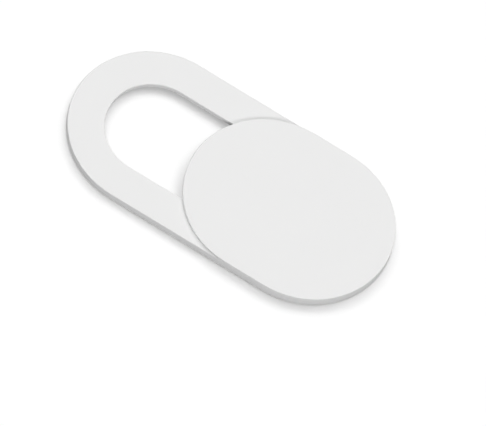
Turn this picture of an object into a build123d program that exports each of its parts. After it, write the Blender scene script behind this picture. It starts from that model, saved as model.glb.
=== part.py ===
from build123d import *

import os

# A stick-on webcam cover: an oblong frame with a window, a slider caught in the frame's track,
# and a ring of tape. The origin is the frame's centre on the surface that the cover is stuck to.
# X runs along the slide, Y across it, and Z points away from that surface. Sizes are in millimetres.

# Frame: one moulded oblong ring
frame_length = 18.6
frame_width = 9.24
band_width = 1.96  # flat band between the outer edge and the window
lip_thickness = 0.27  # what is left of the band in front of the track
lip_width = 0.36  # how far the track reaches past the window's edge
frame_round = 0.04  # rounding of the front edges

# Slider: a cover with a neck through the window, and a plate staked on behind the lip
slider_straight = 2.33  # straight run between the slider's round ends
cover_thickness = 0.12
cover_round = 0.04  # rounding of the cover's front edge
plate_thickness = 0.14
peg_spacing = 2.6
peg_diameter = 1.0
peg_head_diameter = 1.2  # staked end, flush with the plate's back
peg_head_depth = 0.08

# Tape: one die-cut ring on the frame's back
tape_thickness = 0.04
tape_inset = 0.02  # bare margin on each side of the tape

# Clearances
face_gap = 0.03  # running gap on each face of the lip
side_gap = 0.06  # running gap round the neck in the window
track_gap = 0.10  # gap round the plate in the track, wider so that the neck meets its stop first
plate_recess = 0.02  # how far the plate lies inside the frame's back
peg_gap = 0.02  # gap round the pegs in the plate

# Outlines, as overall length and width
slider_length = slider_straight + frame_width
window = (frame_length - 2 * band_width, frame_width - 2 * band_width)
track = (window[0] + 2 * lip_width, window[1] + 2 * lip_width)
neck_inset = band_width + side_gap
neck = (slider_length - 2 * neck_inset, frame_width - 2 * neck_inset)
plate_inset = band_width - lip_width + track_gap
plate = (slider_length - 2 * plate_inset, frame_width - 2 * plate_inset)
tape_outer = (frame_length - 2 * tape_inset, frame_width - 2 * tape_inset)
tape_inner = (track[0] + 2 * tape_inset, track[1] + 2 * tape_inset)

# Heights above the surface
track_depth = face_gap + plate_thickness + plate_recess
frame_back = tape_thickness
lip_back = frame_back + track_depth
frame_front = lip_back + lip_thickness
cover_back = frame_front + face_gap
plate_front = lip_back - face_gap
plate_back = plate_front - plate_thickness

# At rest the slider stands at the +X end of the frame, flush with it
slider_x = (frame_length - slider_length) / 2
standing = (Align.CENTER, Align.CENTER, Align.MIN)

os.makedirs("parts", exist_ok=True)

with BuildPart() as base_frame:
    with BuildSketch(Plane.XY.offset(frame_back)):
        SlotOverall(frame_length, frame_width)
        SlotOverall(*window, mode=Mode.SUBTRACT)
    extrude(amount=frame_front - frame_back)
    fillet(base_frame.edges().group_by(Axis.Z)[-1], radius=frame_round)
    # The track is a rebate round the window, open at the back
    with BuildSketch(Plane.XY.offset(frame_back)):
        SlotOverall(*track)
    extrude(amount=track_depth, mode=Mode.SUBTRACT)
base_frame.part.label = "base_frame"
export_step(base_frame.part, "parts/base_frame.step")

with BuildPart() as slider_cover:
    with BuildSketch(Plane((slider_x, 0, cover_back))):
        SlotOverall(slider_length, frame_width)
    extrude(amount=cover_thickness)
    fillet(slider_cover.edges().group_by(Axis.Z)[-1], radius=cover_round)
    with BuildSketch(Plane((slider_x, 0, plate_front))):
        SlotOverall(*neck)
    extrude(amount=cover_back - plate_front)
    # Two pegs pass through the plate, and their ends are staked out into its countersinks
    with Locations((slider_x, 0, plate_back)):
        with GridLocations(peg_spacing, 0, 2, 1):
            Cylinder(peg_diameter / 2, plate_thickness, align=standing)
            Cone(peg_head_diameter / 2, peg_diameter / 2, peg_head_depth, align=standing)
slider_cover.part.label = "slider_cover"
export_step(slider_cover.part, "parts/slider_cover.step")

with BuildPart() as slider_back_plate:
    with BuildSketch(Plane((slider_x, 0, plate_back))):
        SlotOverall(*plate)
    extrude(amount=plate_thickness)
    # The countersunk holes are the pegs' own form, grown by the gap round them
    with Locations((slider_x, 0, plate_back)):
        with GridLocations(peg_spacing, 0, 2, 1):
            Cylinder(peg_diameter / 2 + peg_gap, plate_thickness, align=standing, mode=Mode.SUBTRACT)
            Cone(
                peg_head_diameter / 2 + peg_gap,
                peg_diameter / 2 + peg_gap,
                peg_head_depth,
                align=standing,
                mode=Mode.SUBTRACT,
            )
slider_back_plate.part.label = "slider_back_plate"
export_step(slider_back_plate.part, "parts/slider_back_plate.step")

with BuildPart() as adhesive_ring:
    with BuildSketch(Plane.XY):
        SlotOverall(*tape_outer)
        SlotOverall(*tape_inner, mode=Mode.SUBTRACT)
    extrude(amount=tape_thickness)
adhesive_ring.part.label = "adhesive_ring"
export_step(adhesive_ring.part, "parts/adhesive_ring.step")
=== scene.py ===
import math

import bpy
from mathutils import Matrix, Vector


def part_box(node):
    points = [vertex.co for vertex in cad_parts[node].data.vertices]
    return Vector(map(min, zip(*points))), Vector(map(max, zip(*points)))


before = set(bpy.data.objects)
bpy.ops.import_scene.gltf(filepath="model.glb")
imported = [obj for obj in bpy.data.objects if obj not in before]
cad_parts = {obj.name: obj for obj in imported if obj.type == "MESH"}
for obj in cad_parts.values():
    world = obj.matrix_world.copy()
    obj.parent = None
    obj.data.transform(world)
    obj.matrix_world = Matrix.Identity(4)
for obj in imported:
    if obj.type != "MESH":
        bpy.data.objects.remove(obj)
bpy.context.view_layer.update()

MM = 0.001
WHITE = (1, 1, 1)

# The photograph's frame in pixels, and how the camera stands in it: a view without perspective
PHOTO_WIDTH = 486
CAMERA_AZIMUTH = math.radians(13.9)
CAMERA_ELEVATION = math.radians(60.96)
CAMERA_ROLL = math.radians(18.95)
PIXELS_PER_MM = 19.22
AIM = Vector((1.607 * MM, -1.528 * MM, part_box("base_frame")[1].z))  # what the middle of the photograph shows
CAMERA_DISTANCE = 100 * MM
CLIP_START = 1 * MM
CLIP_END = 1000 * MM

# Light, in shares of what falls on a level face. The level leaves room for the plastic's gloss, so that its
# colour comes out as written
LIGHT_LEVEL = 0.951
KEY_AZIMUTH = CAMERA_AZIMUTH + math.radians(186)  # behind the object, as the camera sees it
KEY_ELEVATION = math.radians(47)
KEY_SPREAD = math.radians(46)  # between the middle of the key's three panels and its sides
KEY_ANGLE = math.radians(34)  # how wide a panel looks from the object
KEY_SHARE = 0.47
FILL_AZIMUTH = CAMERA_AZIMUTH + math.radians(15)  # from the camera's side, and flagged off the floor
FILL_ELEVATION = math.radians(28)
FILL_SPREAD = math.radians(38)
FILL_ANGLE = math.radians(12)
FILL_SHARE = 0.26
SKY_SHARE = 1 - KEY_SHARE - FILL_SHARE
SKY_LOW = 0.27  # the sky's brightness at the horizon

# Floor: grey to the object, and to the camera white, with a glow in place of the fill that it doesn't get.
# Part of that glow is darkened near the object, as painted shade at its foot
FLOOR_BOUNCE = 0.36
FLOOR_WHITE = 1.02
FLOOR_GLOW_WITH_PAINTED_SHADE = LIGHT_LEVEL * FILL_SHARE  # the part of the glow for the fill, darkened near the object as painted shade
PAINTED_SHADE_REACH = 0.2 * MM  # how far from the object the painted shade reaches
FLOOR_LIFT = FLOOR_WHITE - LIGHT_LEVEL  # the rest of the glow, up to white
FLOOR_SIZE = 400 * MM
BACKDROP_WHITE = 1.0

# Looks: tones and roughness each lie between two values, and a grain's scale is in waves per metre
PLASTIC_TONES = (0.834, 0.834, 0.831), (0.846, 0.846, 0.843)
PLASTIC_CLOUD = 350.0  # scale of the tones' faint clouds
PLASTIC_GRAIN = 30000.0
PLASTIC_ROUGHNESS = 0.50, 0.62
PLASTIC_RELIEF = 0.01 * MM
PLASTIC_RELIEF_STRENGTH = 0.08
TAPE_TONES = (0.68, 0.67, 0.63), (0.76, 0.75, 0.72)
TAPE_CLOUD = 1200.0
TAPE_GRAIN = 5000.0
TAPE_ROUGHNESS = 0.25, 0.42
NOISE_LOW = 0.25  # nearly all of a noise's values lie between these
NOISE_HIGH = 0.75


def new_material(name):
    """A material with an empty tree but for its output and a principled shader."""
    material = bpy.data.materials.new(name)
    material.use_nodes = True
    tree = material.node_tree
    tree.nodes.clear()
    output = tree.nodes.new("ShaderNodeOutputMaterial")
    shader = tree.nodes.new("ShaderNodeBsdfPrincipled")
    tree.links.new(shader.outputs["BSDF"], output.inputs["Surface"])
    return material, tree, shader


def noise(tree, scale, detail=2.0):
    """Noise fixed to the piece."""
    place = tree.nodes.new("ShaderNodeTexCoord")
    texture = tree.nodes.new("ShaderNodeTexNoise")
    texture.inputs["Scale"].default_value = scale
    texture.inputs["Detail"].default_value = detail
    tree.links.new(place.outputs["Object"], texture.inputs["Vector"])
    return texture.outputs["Fac"]


def between(tree, factor, low, high):
    """Maps a noise to the values from low to high."""
    ranged = tree.nodes.new("ShaderNodeMapRange")
    ranged.inputs["From Min"].default_value = NOISE_LOW
    ranged.inputs["From Max"].default_value = NOISE_HIGH
    ranged.inputs["To Min"].default_value = low
    ranged.inputs["To Max"].default_value = high
    tree.links.new(factor, ranged.inputs["Value"])
    return ranged.outputs["Result"]


def tint(tree, factor, dark, light):
    """Maps a factor from 0 to 1 to the colours from dark to light."""
    mix = tree.nodes.new("ShaderNodeMix")
    mix.data_type = "RGBA"
    mix.inputs["A"].default_value = (*dark, 1)
    mix.inputs["B"].default_value = (*light, 1)
    tree.links.new(factor, mix.inputs["Factor"])
    return mix.outputs["Result"]


def moulded_plastic():
    """White plastic out of a finely sparked mould."""
    material, tree, shader = new_material("white_plastic")
    cloud = noise(tree, PLASTIC_CLOUD)
    tree.links.new(tint(tree, cloud, *PLASTIC_TONES), shader.inputs["Base Color"])
    grain = noise(tree, PLASTIC_GRAIN, detail=3.0)
    tree.links.new(between(tree, grain, *PLASTIC_ROUGHNESS), shader.inputs["Roughness"])
    bump = tree.nodes.new("ShaderNodeBump")
    bump.inputs["Strength"].default_value = PLASTIC_RELIEF_STRENGTH
    bump.inputs["Distance"].default_value = PLASTIC_RELIEF
    tree.links.new(grain, bump.inputs["Height"])
    tree.links.new(bump.outputs["Normal"], shader.inputs["Normal"])
    return material


def adhesive_tape():
    """White double-sided tape with the faint cloudiness of its adhesive."""
    material, tree, shader = new_material("adhesive_tape")
    cloud = noise(tree, TAPE_CLOUD, detail=4.0)
    tree.links.new(tint(tree, cloud, *TAPE_TONES), shader.inputs["Base Color"])
    grain = noise(tree, TAPE_GRAIN)
    tree.links.new(between(tree, grain, *TAPE_ROUGHNESS), shader.inputs["Roughness"])
    return material


def dress(nodes, material):
    """Gives the named nodes one material in place of their own."""
    for name in nodes:
        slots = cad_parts[name].data.materials
        slots.clear()
        slots.append(material)


def seen_directly(tree):
    """1 on rays from the camera, also by way of a mirror or a glass, and 0 on those that light the object."""
    path = tree.nodes.new("ShaderNodeLightPath")
    seen = path.outputs["Is Camera Ray"]
    for ray in ("Is Glossy Ray", "Is Transmission Ray"):
        either = tree.nodes.new("ShaderNodeMath")
        either.operation = "MAXIMUM"
        tree.links.new(seen, either.inputs[0])
        tree.links.new(path.outputs[ray], either.inputs[1])
        seen = either.outputs["Value"]
    return seen


def floor_glow_and_painted_shade(tree, seen):
    """The strength of the floor's glow: less near the object, as painted shade, and none on the rays that
    light it.
    """
    # An ambient occlusion node paints shade into the glow near the object
    painted_shade = tree.nodes.new("ShaderNodeAmbientOcclusion")
    painted_shade.inputs["Distance"].default_value = PAINTED_SHADE_REACH
    glow = tree.nodes.new("ShaderNodeMath")
    glow.operation = "MULTIPLY_ADD"
    tree.links.new(painted_shade.outputs["AO"], glow.inputs[0])
    glow.inputs[1].default_value = FLOOR_GLOW_WITH_PAINTED_SHADE
    glow.inputs[2].default_value = FLOOR_LIFT
    shown = tree.nodes.new("ShaderNodeMath")
    shown.operation = "MULTIPLY"
    tree.links.new(glow.outputs["Value"], shown.inputs[0])
    tree.links.new(seen, shown.inputs[1])
    return shown.outputs["Value"]


def add_floor():
    """A plain floor under the object, white to the camera, with the object's shadow on it and painted shade
    near its foot.
    """
    half = FLOOR_SIZE / 2
    mesh = bpy.data.meshes.new("floor")
    corners = [(-half, -half, 0), (half, -half, 0), (half, half, 0), (-half, half, 0)]
    mesh.from_pydata(corners, [], [(0, 1, 2, 3)])
    floor = bpy.data.objects.new("floor", mesh)
    bpy.context.scene.collection.objects.link(floor)
    material, tree, shader = new_material("floor_white")
    shader.inputs["Roughness"].default_value = 1.0
    shader.inputs["Specular IOR Level"].default_value = 0.0
    seen = seen_directly(tree)
    grey = (FLOOR_BOUNCE, FLOOR_BOUNCE, FLOOR_BOUNCE)
    tree.links.new(tint(tree, seen, grey, WHITE), shader.inputs["Base Color"])
    shader.inputs["Emission Color"].default_value = (*WHITE, 1)
    tree.links.new(floor_glow_and_painted_shade(tree, seen), shader.inputs["Emission Strength"])
    mesh.materials.append(material)


def direction(azimuth, elevation):
    """Towards a point that is seen at an azimuth, counted from -Y to +X, and an elevation."""
    return Vector((
        math.sin(azimuth) * math.cos(elevation),
        -math.cos(azimuth) * math.cos(elevation),
        math.sin(elevation),
    ))


def add_bank(name, azimuth, elevation, apart, angle, share, only=None):
    """Three soft panels side by side. With a collection they light only what is in it."""
    sides = (-1, 0, 1)
    for side in sides:
        light = bpy.data.lights.new(name, "SUN")
        light.angle = angle
        light.energy = LIGHT_LEVEL * share / len(sides) * math.pi / math.sin(elevation)
        panel = bpy.data.objects.new(name, light)
        panel.rotation_mode = "QUATERNION"
        panel.rotation_quaternion = direction(azimuth + side * apart, elevation).to_track_quat("Z", "Y")
        panel.light_linking.receiver_collection = only
        bpy.context.scene.collection.objects.link(panel)


def add_sky():
    """A white sky that is brightest overhead, before a plain white backdrop."""
    world = bpy.data.worlds.new("studio")
    world.use_nodes = True
    tree = world.node_tree
    sky = tree.nodes["Background"]
    sky.inputs["Color"].default_value = (*WHITE, 1)
    place = tree.nodes.new("ShaderNodeTexCoord")
    height = tree.nodes.new("ShaderNodeSeparateXYZ")
    rise = tree.nodes.new("ShaderNodeMapRange")
    # A level face takes a third of the horizon's brightness and two thirds of the zenith's
    rise.inputs["To Min"].default_value = SKY_LOW
    rise.inputs["To Max"].default_value = (LIGHT_LEVEL * SKY_SHARE - SKY_LOW / 3) * 3 / 2
    tree.links.new(place.outputs["Generated"], height.inputs["Vector"])
    tree.links.new(height.outputs["Z"], rise.inputs["Value"])
    tree.links.new(rise.outputs["Result"], sky.inputs["Strength"])
    backdrop = tree.nodes.new("ShaderNodeBackground")
    backdrop.inputs["Color"].default_value = (*WHITE, 1)
    backdrop.inputs["Strength"].default_value = BACKDROP_WHITE
    mix = tree.nodes.new("ShaderNodeMixShader")
    tree.links.new(seen_directly(tree), mix.inputs["Fac"])
    tree.links.new(sky.outputs["Background"], mix.inputs[1])
    tree.links.new(backdrop.outputs["Background"], mix.inputs[2])
    tree.links.new(mix.outputs["Shader"], tree.nodes["World Output"].inputs["Surface"])
    bpy.context.scene.world = world


def add_light():
    """The key, a fill for the cover alone, and the sky."""
    cover = bpy.data.collections.new("cover")
    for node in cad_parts.values():
        cover.objects.link(node)
    add_bank("key", KEY_AZIMUTH, KEY_ELEVATION, KEY_SPREAD, KEY_ANGLE, KEY_SHARE)
    add_bank("fill", FILL_AZIMUTH, FILL_ELEVATION, FILL_SPREAD, FILL_ANGLE, FILL_SHARE, cover)
    add_sky()


def add_camera():
    """A camera that shows the object in the photograph's frame, tilted and turned as it is there."""
    scene = bpy.context.scene
    data = bpy.data.cameras.new("camera")
    data.type = "ORTHO"
    data.ortho_scale = PHOTO_WIDTH / PIXELS_PER_MM * MM
    data.clip_start = CLIP_START
    data.clip_end = CLIP_END
    camera = bpy.data.objects.new("camera", data)
    back = direction(CAMERA_AZIMUTH, CAMERA_ELEVATION)
    right = Vector((math.cos(CAMERA_AZIMUTH), math.sin(CAMERA_AZIMUTH), 0))
    level = Matrix((right, back.cross(right), back)).transposed()
    turn = level @ Matrix.Rotation(CAMERA_ROLL, 3, "Z")
    camera.matrix_world = Matrix.Translation(AIM + back * CAMERA_DISTANCE) @ turn.to_4x4()
    scene.collection.objects.link(camera)
    scene.camera = camera
    scene.view_settings.view_transform = "Standard"


dress(["base_frame", "slider_cover", "slider_back_plate"], moulded_plastic())
dress(["adhesive_ring"], adhesive_tape())
add_floor()
add_light()
add_camera()
